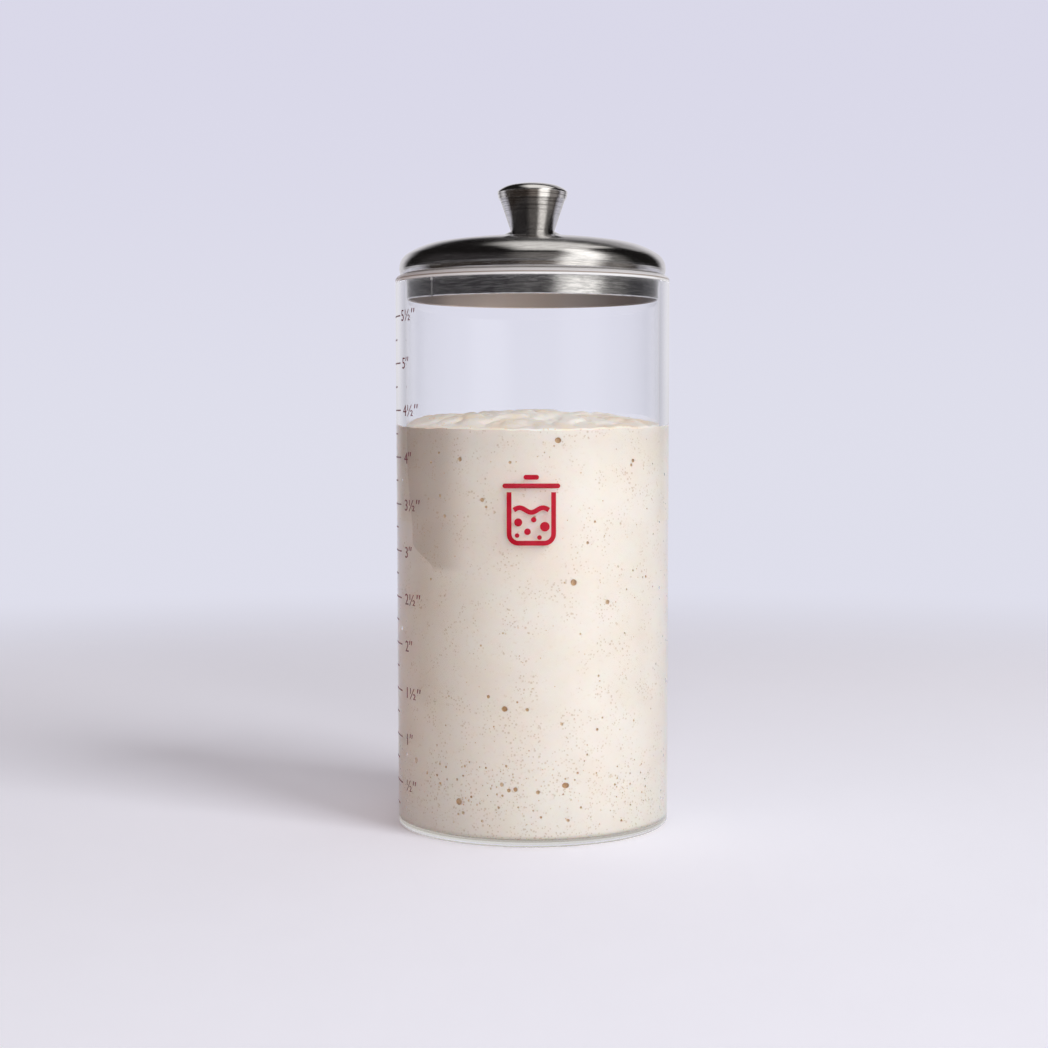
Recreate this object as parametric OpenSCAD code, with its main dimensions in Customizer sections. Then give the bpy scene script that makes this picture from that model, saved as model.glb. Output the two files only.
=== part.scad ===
// Straight glass jar of sourdough starter with a loose domed steel lid.
// Millimetres, +Z up. The origin is the middle of the jar's base, on the surface that it stands on.
// The front of the jar faces -Y, and -X is its left side, where the inch scale is printed.

/* [Glass jar] */
// Outside diameter of the jar
jar_od = 75.2; // [68:0.2:88]
// Height of the jar, from its base to the top of its rim
jar_height = 150.9; // [149:0.1:200]
// Thickness of the side wall
jar_wall = 2.6; // [2.2:0.1:3]
// Thickness of the floor
jar_floor = 1.4; // [1.3:0.1:6]
// Radius of the rounded outer edge round the base
base_round = 1.2; // [0.6:0.1:1.4]
// Radius of the rounded inner corner round the floor
floor_round = 1.6; // [1:0.1:5]

/* [Printed inch scale] */
// Distance from one half-inch mark to the next
mark_step = 12.7; // [12:0.1:13]
// Number of half-inch marks up the side
mark_count = 11; // [4:1:11]
// Thickness of a printed line, up and down
mark_line = 0.4; // [0.25:0.05:0.8]
// Thickness of the ink on the glass
ink_depth = 0.04; // [0.02:0.01:0.1]
// Length of a half-inch mark round the jar
half_mark_length = 10; // [5:0.5:20]
// Length of a quarter-inch mark round the jar
quarter_mark_length = 6; // [3:0.5:15]
// Angle from the front of the jar to the outer end of every mark
mark_angle = 86.6; // [60:0.1:120]

/* [Starter] */
// Height of the starter's surface where it meets the glass
starter_edge = 109.6; // [60:0.2:125]
// Rise of the surface from the glass to the middle
starter_crown = 4.3; // [0.5:0.1:6]
// Gap between the starter and the glass, so that the two solids stay apart
starter_gap = 0.05; // [0.02:0.01:0.2]
// Radius of the rounded swellings on the surface
swelling_radius = 9; // [7:0.2:12]

/* [Lid] */
// How far the glass rim stands out past the widest part of the dome
rim_showing = 1.05; // [0.6:0.05:1.2]
// Thickness of the dome's steel sheet
dome_sheet = 0.8; // [0.5:0.1:1]
// Gap under the dome's edge, above the glass rim
seat_gap = 0.1; // [0.05:0.05:0.3]
// Drop from the dome's widest line to its lower edge
edge_drop = 2; // [1:0.1:2]
// Radius of the dome's round shoulder
shoulder_radius = 4.5; // [3:0.1:6]
// How far the shoulder turns, up from the widest line
shoulder_turn = 57; // [50:1:65]
// Radius of the sweep from the shoulder to the crown
sweep_radius = 20.6; // [16:0.1:26]
// How far the surface has turned where the flat crown starts
crown_turn = 81; // [78:0.5:84]
// Radial clearance between the skirt and the inside of the jar
skirt_gap = 0.45; // [0.3:0.05:0.8]
// Thickness of the skirt's steel band
skirt_sheet = 0.6; // [0.4:0.1:0.8]
// How far the skirt reaches down into the jar
skirt_reach = 6.7; // [4:0.1:14]
// Height of the skirt's flange above the glass rim
flange_lift = 0.45; // [0.3:0.05:0.7]
// Width of the line where the band's ends are welded
seam_width = 0.5; // [0.3:0.1:1]
// Depth of the weld line
seam_depth = 0.12; // [0.05:0.01:0.2]
// Angle of the weld line from the front of the jar, towards the left
seam_angle = 48; // [0:1:180]

/* [Knob] */
// Radius of the knob's dished seat at the dome
seat_radius = 9.4; // [8.6:0.1:12]
// Height of the seat's top above the top of the dome
seat_height = 1.4; // [1:0.1:3]
// Radius of the knob's cone at its foot
cone_low_radius = 6; // [5:0.1:7]
// Radius of the cone at its top
cone_top_radius = 8.9; // [8:0.1:10]
// Height of the cone
cone_height = 8.6; // [7.6:0.1:14]
// Thickness of the cone's wall
cone_wall = 0.8; // [0.5:0.1:1.2]
// Thickness of the cone's bottom
cone_floor = 1; // [0.8:0.1:1.6]
// How far the cap's edge stands out past the cone
cap_overhang = 0.7; // [0.4:0.1:1.5]
// Height of the cap's side, from its lower edge to its widest line
cap_side = 1.9; // [1.2:0.1:3]
// How far the side draws in from the widest line to its lower edge
cap_draw = 0.35; // [0.2:0.05:0.4]
// Radius of the cap's rolled edge
cap_roll = 0.55; // [0.45:0.05:0.8]
// How far the rolled edge turns, up from the widest line
cap_roll_turn = 50; // [40:1:58]
// Radius of the cap's shoulder
cap_shoulder = 7; // [5:0.1:9]
// How far the cap has turned where its flat crown starts
cap_crown_turn = 76; // [70:1:82]
// Thickness of the cap's sheet
cap_sheet = 0.6; // [0.4:0.1:0.8]

/* [Knob fixing] */
// Diameter of the screw
screw_diameter = 4; // [3:0.5:5]
// Length of the screw's shank
screw_length = 10; // [8:0.5:10.5]
// Radius of the screw's round head
screw_head_radius = 3.9; // [3.2:0.1:4.5]
// Height of the head
screw_head_height = 2.2; // [1.6:0.1:3]
// Radial clearance of the holes that the screw passes through
screw_clearance = 0.25; // [0.15:0.05:0.5]
// Radial clearance of the screw in the knob's threaded insert
thread_clearance = 0.05; // [0.03:0.01:0.1]
// Radius of the washer under the head
washer_radius = 5.5; // [4.8:0.1:8]
// Thickness of the washer
washer_thickness = 0.8; // [0.5:0.1:1.5]
// Radius of the threaded insert in the knob
insert_radius = 4; // [3.4:0.1:4.4]
// Height of the insert
insert_height = 6.6; // [4:0.1:6.8]
// Gap between the pieces that are clamped or welded face to face
joint_gap = 0.02; // [0.01:0.01:0.05]

/* [Hidden] */
$fn = 144;
arc_steps = 12;
margin = 1;

steel = [0.72, 0.71, 0.69];
bright_steel = [0.82, 0.82, 0.80];
glass_tint = [0.86, 0.91, 0.93, 0.35];
ink_red = [0.55, 0.04, 0.10];
dough_cream = [0.93, 0.88, 0.81];

// Jar
jar_radius = jar_od / 2;
bore_radius = jar_radius - jar_wall;
rim_round = jar_wall / 2;

// Starter
fill_radius = bore_radius - starter_gap;
fill_round = floor_round - starter_gap;
fill_bottom = jar_floor + starter_gap;
swelling_sink = swelling_radius - 1;
// Each swelling's angle round the jar, its distance from the middle and its rise over the crown
swellings = [
    [255, 20, 0.9],
    [275, 13, 1.3],
    [300, 21, 0.6],
    [215, 19, 0.8],
    [20, 17, 0.7],
    [80, 15, 1.0],
    [130, 20, 0.8],
    [180, 4, 1.1]
];

// Dome: three arcs that run on into each other, from the widest line in to the crown
dome_radius = jar_radius - rim_showing;
edge_z = jar_height + seat_gap;
widest_z = edge_z + edge_drop;
shoulder_centre = [dome_radius - shoulder_radius, widest_z];
shoulder_end = shoulder_centre + shoulder_radius * heading(shoulder_turn);
sweep_centre = shoulder_end - sweep_radius * heading(shoulder_turn);
sweep_end = sweep_centre + sweep_radius * heading(crown_turn);
crown_radius = sweep_end[0] / cos(crown_turn);
crown_centre = [0, sweep_end[1] - crown_radius * sin(crown_turn)];
dome_top = crown_centre[1] + crown_radius;
edge_turn = -asin(edge_drop / shoulder_radius);

// Skirt
skirt_radius = bore_radius - skirt_gap;
skirt_bottom = jar_height - skirt_reach;
flange_bottom = jar_height + flange_lift;
flange_top = flange_bottom + skirt_sheet;
flange_radius = dome_inside_radius(flange_bottom) - joint_gap;

// Knob
seat_top = dome_top + seat_height;
cone_bottom = seat_top + joint_gap;
cone_top = cone_bottom + cone_height;
cap_radius = cone_top_radius + cap_overhang;
cap_low_radius = cap_radius - cap_draw;
cap_edge_z = cone_top + cap_side;
cap_low_z = cone_top;
collar_height = cap_side - cap_sheet;

// Cap: a rolled edge, a shoulder and a crown, in arcs that run on into each other
cap_roll_centre = [cap_radius - cap_roll, cap_edge_z];
cap_roll_end = cap_roll_centre + cap_roll * heading(cap_roll_turn);
cap_shoulder_centre = cap_roll_end - cap_shoulder * heading(cap_roll_turn);
cap_shoulder_end = cap_shoulder_centre + cap_shoulder * heading(cap_crown_turn);
cap_crown = cap_shoulder_end[0] / cos(cap_crown_turn);
cap_crown_centre = [0, cap_shoulder_end[1] - cap_crown * sin(cap_crown_turn)];

// Fixing
screw_radius = screw_diameter / 2;
hole_radius = screw_radius + screw_clearance;
insert_bore = screw_radius + thread_clearance;
insert_bottom = cone_bottom + cone_floor + joint_gap;
washer_top = crown_under_z(washer_radius) - joint_gap;
washer_bottom = washer_top - washer_thickness;
head_top = washer_bottom - joint_gap;
drive_slot = 0.9;
drive_span = 4.4;
drive_depth = 1.2;

// Unit vector at an angle up from the radial direction
function heading(turn) = [cos(turn), sin(turn)];

// Points along an arc in the radius and height plane
function arc(centre, radius, start, end, steps = arc_steps) =
    [for (i = [0:steps]) centre + radius * heading(start + (end - start) * i / steps)];

// Height of the crown's outer and inner face at a distance from the axis
function crown_z(r) = crown_centre[1] + sqrt(crown_radius * crown_radius - r * r);
function crown_under_z(r) =
    crown_centre[1] + sqrt((crown_radius - dome_sheet) * (crown_radius - dome_sheet) - r * r);

// Radius of the dome's inner face at a height beside the widest line
function dome_inside_radius(z) =
    shoulder_centre[0]
    + sqrt((shoulder_radius - dome_sheet) * (shoulder_radius - dome_sheet)
           - (z - widest_z) * (z - widest_z));

// The dome's profile at a depth under its outer face, from the lower edge to the axis
function dome_profile(depth, low_turn) = concat(
    arc(shoulder_centre, shoulder_radius - depth, low_turn, shoulder_turn),
    arc(sweep_centre, sweep_radius - depth, shoulder_turn, crown_turn),
    arc(crown_centre, crown_radius - depth, crown_turn, 90)
);

// Height of the starter's surface at a distance from the axis
function starter_z(r) = starter_edge + starter_crown * (1 - pow(r / fill_radius, 2));

function reversed(points) = [for (i = [len(points) - 1:-1:0]) points[i]];

// Straight round hole along the axis
module axis_hole(radius, low, high) {
    translate([0, 0, low])
        cylinder(r = radius, h = high - low);
}

// One printed line round the jar, ending at the given angle left of the front
module printed_line(z, length) {
    sweep = length / jar_radius * 180 / PI;
    rotate([0, 0, 270 - mark_angle])
        translate([0, 0, z - mark_line / 2])
            rotate_extrude(angle = sweep)
                translate([jar_radius, 0])
                    square([ink_depth, mark_line]);
}

// Jar with a flat base, a rounded floor corner and a fire-polished rim
module glass_jar() {
    color(glass_tint)
        rotate_extrude()
            polygon(concat(
                [[0, 0]],
                arc([jar_radius - base_round, base_round], base_round, -90, 0),
                arc([jar_radius - rim_round, jar_height - rim_round], rim_round, 0, 180),
                arc([bore_radius - floor_round, jar_floor + floor_round], floor_round, 0, -90),
                [[0, jar_floor]]
            ));
}

module half_inch_marks() {
    color(ink_red)
        for (i = [1:mark_count])
            printed_line(i * mark_step, half_mark_length);
}

module quarter_inch_marks() {
    color(ink_red)
        for (i = [1:mark_count])
            printed_line((i - 0.5) * mark_step, quarter_mark_length);
}

// Risen starter, crowned, with rounded swellings on its surface
module starter() {
    color(dough_cream)
        union() {
            rotate_extrude()
                polygon(concat(
                    [[0, fill_bottom]],
                    arc([fill_radius - fill_round, fill_bottom + fill_round], fill_round, -90, 0),
                    [for (i = [arc_steps:-1:0])
                        [fill_radius * i / arc_steps, starter_z(fill_radius * i / arc_steps)]]
                ));
            for (s = swellings)
                rotate([0, 0, s[0]])
                    translate([s[1], 0, starter_z(s[1]) + s[2] - swelling_radius])
                        sphere(r = swelling_radius);
        }
}

// Spun dome, open below, with a hole for the knob's screw
module lid_dome() {
    inner_turn = -asin(edge_drop / (shoulder_radius - dome_sheet));
    color(steel)
        difference() {
            rotate_extrude()
                polygon(concat(
                    dome_profile(0, edge_turn),
                    reversed(dome_profile(dome_sheet, inner_turn))
                ));
            axis_hole(hole_radius, crown_under_z(0) - margin, dome_top + margin);
        }
}

// Band that drops into the jar, with a rounded lower edge and a flange inside the dome
module lid_skirt() {
    edge_round = skirt_sheet / 2;
    inner_radius = skirt_radius - skirt_sheet;
    color(steel)
        difference() {
            rotate_extrude()
                polygon(concat(
                    arc([skirt_radius - edge_round, skirt_bottom + edge_round],
                        edge_round, -180, 0, 8),
                    [[skirt_radius, flange_bottom]],
                    [[flange_radius, flange_bottom]],
                    [[flange_radius, flange_top]],
                    [[inner_radius, flange_top]]
                ));
            rotate([0, 0, 270 - seam_angle])
                translate([skirt_radius - seam_depth, -seam_width / 2, skirt_bottom - margin])
                    cube([margin, seam_width, flange_bottom - skirt_bottom]);
        }
}

// Dished seat between the dome and the knob
module knob_seat() {
    steps = 8;
    base_z = crown_z(seat_radius) + joint_gap;
    rise = seat_top - base_z;
    color(steel)
        rotate_extrude()
            polygon(concat(
                [for (i = [0:steps])
                    let (r = hole_radius + (seat_radius - hole_radius) * i / steps)
                        [r, crown_z(r) + joint_gap]],
                [for (i = [1:steps])
                    let (r = seat_radius - (seat_radius - cone_low_radius) * i / steps)
                        [r, base_z + rise * pow(i / steps, 1.1)]],
                [[hole_radius, seat_top]]
            ));
}

// Hollow cone that widens upwards, closed below, with a short collar inside the cap
module knob_cone() {
    collar_radius = cap_low_radius - cap_sheet - joint_gap;
    slope = (cone_top_radius - cone_low_radius) / cone_height;
    color(steel)
        rotate_extrude()
            polygon([
                [hole_radius, cone_bottom],
                [cone_low_radius, cone_bottom],
                [cone_top_radius, cone_top - joint_gap],
                [collar_radius, cone_top - joint_gap],
                [collar_radius, cone_top + collar_height],
                [collar_radius - cone_wall, cone_top + collar_height],
                [collar_radius - cone_wall, cone_top - cone_wall],
                [cone_low_radius - cone_wall + slope * cone_floor, cone_bottom + cone_floor],
                [hole_radius, cone_bottom + cone_floor]
            ]);
}

// Domed cap with a rolled edge, and a side that draws in round the cone's collar
module knob_cap() {
    low_edge = [cap_low_radius, cap_low_z];
    drop = low_edge - cap_roll_centre;
    low_turn = atan2(drop[1], drop[0]) + acos(cap_roll / norm(drop));
    inner_side = cap_low_radius - cap_sheet;
    inner_shoulder = cap_shoulder - cap_sheet;
    inner_turn = acos((inner_side - cap_shoulder_centre[0]) / inner_shoulder);
    color(bright_steel)
        rotate_extrude()
            polygon(concat(
                [low_edge],
                arc(cap_roll_centre, cap_roll, low_turn, cap_roll_turn),
                arc(cap_shoulder_centre, cap_shoulder, cap_roll_turn, cap_crown_turn),
                arc(cap_crown_centre, cap_crown, cap_crown_turn, 90),
                arc(cap_crown_centre, cap_crown - cap_sheet, 90, cap_crown_turn),
                arc(cap_shoulder_centre, inner_shoulder, cap_crown_turn, inner_turn),
                [[inner_side, cap_low_z]]
            ));
}

// Threaded insert on the cone's floor, with a blind bore for the screw
module knob_insert() {
    color(bright_steel)
        difference() {
            axis_hole(insert_radius, insert_bottom, insert_bottom + insert_height);
            axis_hole(insert_bore, insert_bottom - margin, head_top + screw_length + joint_gap);
        }
}

// Screw from inside the lid, with a rounded head and a cross drive
module knob_screw() {
    head_bottom = head_top - screw_head_height;
    head_corner = screw_head_height * 0.6;
    color(bright_steel)
        difference() {
            union() {
                rotate_extrude()
                    polygon(concat(
                        [[0, head_bottom]],
                        arc([screw_head_radius - head_corner, head_bottom + head_corner],
                            head_corner, -90, 0, 6),
                        [[screw_head_radius, head_top]],
                        [[0, head_top]]
                    ));
                axis_hole(screw_radius, head_top, head_top + screw_length);
            }
            for (turn = [0, 90])
                rotate([0, 0, turn])
                    translate([-drive_span / 2, -drive_slot / 2, head_bottom - margin])
                        cube([drive_span, drive_slot, drive_depth + margin]);
        }
}

module screw_washer() {
    color(bright_steel)
        difference() {
            axis_hole(washer_radius, washer_bottom, washer_top);
            axis_hole(hole_radius, washer_bottom - margin, washer_top + margin);
        }
}

glass_jar();
half_inch_marks();
quarter_inch_marks();
starter();
lid_dome();
lid_skirt();
knob_seat();
knob_cone();
knob_cap();
knob_insert();
knob_screw();
screw_washer();
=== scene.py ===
# Sourdough starter jar: a straight glass jar with an inch scale, risen starter, and a loose domed steel lid.
# Metres, +Z up. The front of the jar faces -Y and the scale is on its left side, towards -X.
import math
import random

import bmesh
import bpy
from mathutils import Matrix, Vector, noise


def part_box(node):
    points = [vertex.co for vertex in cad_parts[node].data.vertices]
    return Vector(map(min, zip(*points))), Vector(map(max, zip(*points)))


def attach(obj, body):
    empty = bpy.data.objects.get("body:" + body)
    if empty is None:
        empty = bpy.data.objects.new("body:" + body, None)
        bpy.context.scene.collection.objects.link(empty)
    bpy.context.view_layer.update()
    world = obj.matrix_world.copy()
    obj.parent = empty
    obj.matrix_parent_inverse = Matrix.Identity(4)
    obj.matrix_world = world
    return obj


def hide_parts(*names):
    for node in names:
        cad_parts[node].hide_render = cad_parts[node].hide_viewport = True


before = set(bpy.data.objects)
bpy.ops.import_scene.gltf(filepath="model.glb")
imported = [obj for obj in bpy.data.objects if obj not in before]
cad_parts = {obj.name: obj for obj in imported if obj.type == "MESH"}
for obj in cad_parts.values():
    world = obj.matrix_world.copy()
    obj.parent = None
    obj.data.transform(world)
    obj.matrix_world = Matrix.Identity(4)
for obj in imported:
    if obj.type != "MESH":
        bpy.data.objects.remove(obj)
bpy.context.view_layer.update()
print("frame loaded:", len(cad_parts), "nodes")


# Mesh helpers

def showMesh(name, verts, faces, material, smoothAngle=35):
    mesh = bpy.data.meshes.new(name)
    mesh.from_pydata(verts, [], faces)
    mesh.update()
    mesh.shade_smooth()
    mesh.set_sharp_from_angle(angle=math.radians(smoothAngle))
    mesh.materials.append(material)
    piece = bpy.data.objects.new(name, mesh)
    bpy.context.scene.collection.objects.link(piece)
    return piece


def ringVerts(radius, z, segments):
    step = 2 * math.pi / segments
    return [(radius * math.cos(i * step), radius * math.sin(i * step), z) for i in range(segments)]


# profile is a list of (radius, z); a point on the axis closes the shape with a fan
def latheMesh(name, profile, segments, material, closed=False, smoothAngle=35):
    verts = []
    rows = []
    for radius, z in profile:
        if radius < 1e-7:
            rows.append([len(verts)])
            verts.append((0, 0, z))
        else:
            rows.append(list(range(len(verts), len(verts) + segments)))
            verts.extend(ringVerts(radius, z, segments))
    pairs = list(zip(rows, rows[1:]))
    if closed:
        pairs.append((rows[-1], rows[0]))
    faces = []
    for low, high in pairs:
        for i in range(segments):
            j = (i + 1) % segments
            if len(low) == 1:
                faces.append((low[0], high[j], high[i]))
            elif len(high) == 1:
                faces.append((low[i], low[j], high[0]))
            else:
                faces.append((low[i], low[j], high[j], high[i]))
    return showMesh(name, verts, faces, material, smoothAngle)


def arcPoints(centre, radius, startDeg, endDeg, steps):
    points = []
    for i in range(steps + 1):
        turn = math.radians(startDeg + (endDeg - startDeg) * i / steps)
        points.append((centre[0] + radius * math.cos(turn), centre[1] + radius * math.sin(turn)))
    return points


# a point on the upright cylinder, by its angle left of the front
def onCylinder(radius, leftDeg, z):
    turn = math.radians(leftDeg)
    return (-radius * math.sin(turn), -radius * math.cos(turn), z)


# Node helpers

def feed(tree, socket, value):
    if isinstance(value, bpy.types.NodeSocket):
        tree.links.new(value, socket)
    else:
        socket.default_value = value


def addNode(tree, kind, settings=None, **inputs):
    made = tree.nodes.new(kind)
    for key, value in (settings or {}).items():
        setattr(made, key, value)
    for key, value in inputs.items():
        feed(tree, made.inputs[key.replace("_", " ")], value)
    return made


def calc(tree, operation, first, second=0.0, clamp=False):
    made = addNode(tree, "ShaderNodeMath", {"operation": operation, "use_clamp": clamp})
    feed(tree, made.inputs[0], first)
    feed(tree, made.inputs[1], second)
    return made.outputs[0]


# 0 below the first edge and 1 above the second, with a soft step between; the edges may run downwards
def softStep(tree, value, start, end, low=0.0, high=1.0):
    made = addNode(tree, "ShaderNodeMapRange", {"interpolation_type": "SMOOTHSTEP"}, Value=value)
    made.inputs["From Min"].default_value = start
    made.inputs["From Max"].default_value = end
    made.inputs["To Min"].default_value = low
    made.inputs["To Max"].default_value = high
    return made.outputs[0]


def mixColour(tree, share, first, second, blend="MIX"):
    made = addNode(tree, "ShaderNodeMix", {"data_type": "RGBA", "blend_type": blend})
    feed(tree, made.inputs[0], share)
    feed(tree, made.inputs[6], first)
    feed(tree, made.inputs[7], second)
    return made.outputs[2]


def stretch(tree, vector, scale):
    made = addNode(tree, "ShaderNodeMapping", {"vector_type": "POINT"}, Vector=vector)
    made.inputs["Scale"].default_value = scale
    return made.outputs[0]


def noiseValue(tree, vector, scale, detail=3.0, rough=0.55):
    made = addNode(tree, "ShaderNodeTexNoise", None, Vector=vector, Scale=scale, Detail=detail, Roughness=rough)
    return made.outputs[0]


def newMaterial(name):
    material = bpy.data.materials.new(name)
    material.use_nodes = True
    material.node_tree.nodes.clear()
    return material, material.node_tree


def finishMaterial(tree, shaderOutput):
    output = addNode(tree, "ShaderNodeOutputMaterial")
    tree.links.new(shaderOutput, output.inputs["Surface"])


def objectPoint(tree):
    return addNode(tree, "ShaderNodeTexCoord").outputs["Object"]


# Distance from the axis, angle round it and height, as one vector, for marks that a lathe leaves
def turnedPoint(tree, radiusScale, angleScale, heightScale):
    split = addNode(tree, "ShaderNodeSeparateXYZ", None, Vector=objectPoint(tree))
    x, y, z = split.outputs
    radius = calc(tree, "SQRT", calc(tree, "ADD", calc(tree, "MULTIPLY", x, x), calc(tree, "MULTIPLY", y, y)))
    angle = calc(tree, "ARCTAN2", y, x)
    joined = addNode(tree, "ShaderNodeCombineXYZ")
    feed(tree, joined.inputs[0], calc(tree, "MULTIPLY", radius, radiusScale))
    feed(tree, joined.inputs[1], calc(tree, "MULTIPLY", angle, angleScale))
    feed(tree, joined.inputs[2], calc(tree, "MULTIPLY", z, heightScale))
    return joined.outputs[0]


def colour(r, g, b):
    return (r, g, b, 1.0)


# Camera, level with the shoulder of the starter and just under half a metre in front of the glass

cameraLook = {
    "distance": 0.5399,
    "height": 0.1126,
    "pitchDown": 4.21,
    "turnRight": 0.80,
    "focal": 66.88,
    "sensor": 36.0,
    "shiftX": -0.03435,
    "shiftY": 0.03435,
}


def addCamera():
    data = bpy.data.cameras.new("camera")
    data.sensor_width = cameraLook["sensor"]
    data.lens = cameraLook["focal"]
    data.shift_x = cameraLook["shiftX"]
    data.shift_y = cameraLook["shiftY"]
    data.clip_start = 0.01
    data.clip_end = 20
    camera = bpy.data.objects.new("camera", data)
    camera.location = (0, -cameraLook["distance"], cameraLook["height"])
    camera.rotation_euler = (
        math.radians(90 - cameraLook["pitchDown"]), 0, -math.radians(cameraLook["turnRight"]))
    bpy.context.scene.collection.objects.link(camera)
    bpy.context.scene.camera = camera


# Studio: a pale floor and backdrop, a tall soft light at the right, a broad one overhead and a low one in front

studioLook = {
    "backdropTop": colour(0.70, 0.69, 0.815),
    "backdropLow": colour(0.735, 0.735, 0.835),
    "throughGlass": 1.03,  # the backdrop as the clear glass shows it, next to the bare one
    "floorTrue": colour(0.765, 0.775, 0.855),
    "floorBoost": 1.53,  # how much paler the floor looks than it lights the jar
    "floorRadius": 1.6,
    "fadeStart": 0.28, "fadeEnd": 0.75,
    "underJarGlow": colour(0.60, 0.585, 0.575),  # painted glow: the floor under the jar, in shadow, shows the glass base this pale tone
    "bounce": colour(0.88, 0.70, 0.58),  # painted glow: a patch of floor at the left glows this warm for matt rays, as the light that the left side of the starter gets off the floor
    # painted reflection: past the paper, in front and at the sides, the floor glows for mirror rays only, in a dark
    # tone with painted patches of the room's glow, which the steel mirrors
    "mirrorDark": colour(0.04, 0.032, 0.028),
    "mirrorGlow": ((colour(0.13, 0.115, 0.105), (-22, 2, 24, 40)), (colour(1.35, 1.33, 1.30), (14, 33, 48, 66)),
                  (colour(0.2, 0.19, 0.185), (50, 64, 80, 104))),
    # each lamp: degrees right of the front, degrees up, distance, width and height, watts
    "lamps": {
        "keyLight": (48, 33, 2.0, (0.8, 1.3), 19.6),
        "fillLight": (10, 12, 2.2, (1.3, 0.9), 16.5),
        "topLight": (172, 80, 1.3, (1.0, 1.5), 2.4),
    },
}
# Light that matt surfaces gather from the room, by the side that it comes from
roomGlow = {
    "front": colour(0.17, 0.165, 0.165),
    "back": colour(0.60, 0.57, 0.58),
    "left": colour(0.40, 0.21, 0.15),
    "right": colour(0.22, 0.21, 0.20),
    "overhead": 0.12,  # how much of it is left towards the ceiling
}
# What metal and glass mirror. Edges are the degrees, or the ceiling's slopes, at which a patch
# starts, is full, starts to end and has ended.
roomMirror = {
    "dark": colour(0.013, 0.012, 0.012),
    "low": colour(0.70, 0.69, 0.73),
    "box": (colour(0.93, 0.91, 0.89), (-0.28, -0.04, 0.38, 0.57), (-0.62, -0.25, 0.72, 0.95)),
    "key": (colour(1.6, 1.585, 1.56), (11, 34, 48, 70), (-11, 6, 57, 71)),
    "keyTail": (colour(0.2, 0.195, 0.19), (50, 64, 76, 100), (-10, 5, 60, 72)),
    "front": (colour(0.2, 0.19, 0.185), (-32, -2, 24, 38), (-2, 14, 38, 56)),
    "left": (colour(0.03, 0.028, 0.03), (-130, -90, -30, -5), (-2, 6, 30, 50)),
    "wall": (colour(0.76, 0.745, 0.79), (-46, -26, 26, 46), (-6, 2, 14, 31)),
    "wallRight": (colour(0.40, 0.39, 0.40), (-8, 6, 26, 40), (12, 30, 34, 43)),
    "keyLean": 0.32,  # the key patch leans to the right, by so many degrees for each degree up
}


# 0 outside the four edges and 1 between the inner two
def patch(tree, value, edges):
    rise = softStep(tree, value, edges[0], edges[1])
    fall = softStep(tree, value, edges[3], edges[2])
    return calc(tree, "MULTIPLY", rise, fall)


def addLight(tree, base, share, tint):
    return mixColour(tree, share, base, tint, "ADD")


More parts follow.
